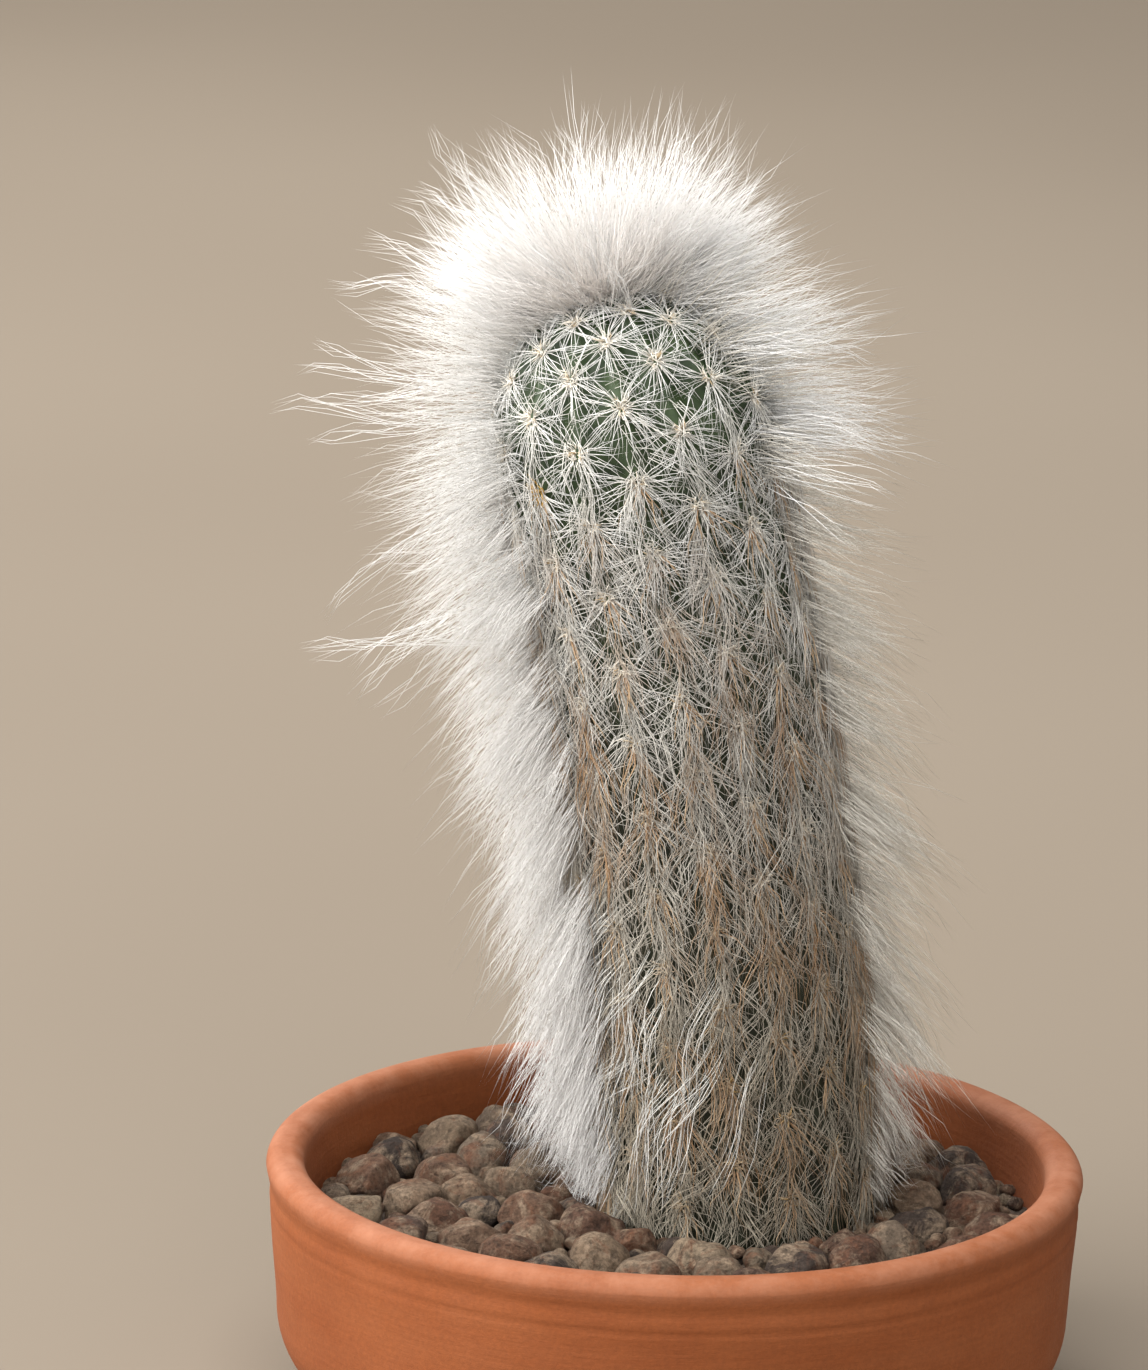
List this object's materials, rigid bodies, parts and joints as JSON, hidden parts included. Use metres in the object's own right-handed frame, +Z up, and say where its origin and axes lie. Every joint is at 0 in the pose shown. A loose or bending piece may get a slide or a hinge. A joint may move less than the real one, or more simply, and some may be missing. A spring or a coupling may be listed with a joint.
{
  "type": "potted woolly column cactus",
  "caption": "Leaning woolly column cactus with spiny ribs and a white crown, in a round terracotta bowl dressed with pebbles.",
  "frame": {"origin": "centre of the pot's flat underside", "axes": "+Z up along the pot's axis, -Y towards the spiny front that the wool leaves open, -X towards the side the stem leans to"},
  "size_m": [0.11, 0.11, 0.1804],
  "materials": {
    "terracotta": "matte",
    "soil": "matte",
    "gravel": "matte",
    "stem": "matte",
    "wool": "matte"
  },
  "bodies": {
    "root": {"pot": "terracotta", "soil": "soil", "gravel": "gravel", "stem": "stem", "wool": "wool"}
  },
  "joints": []
}
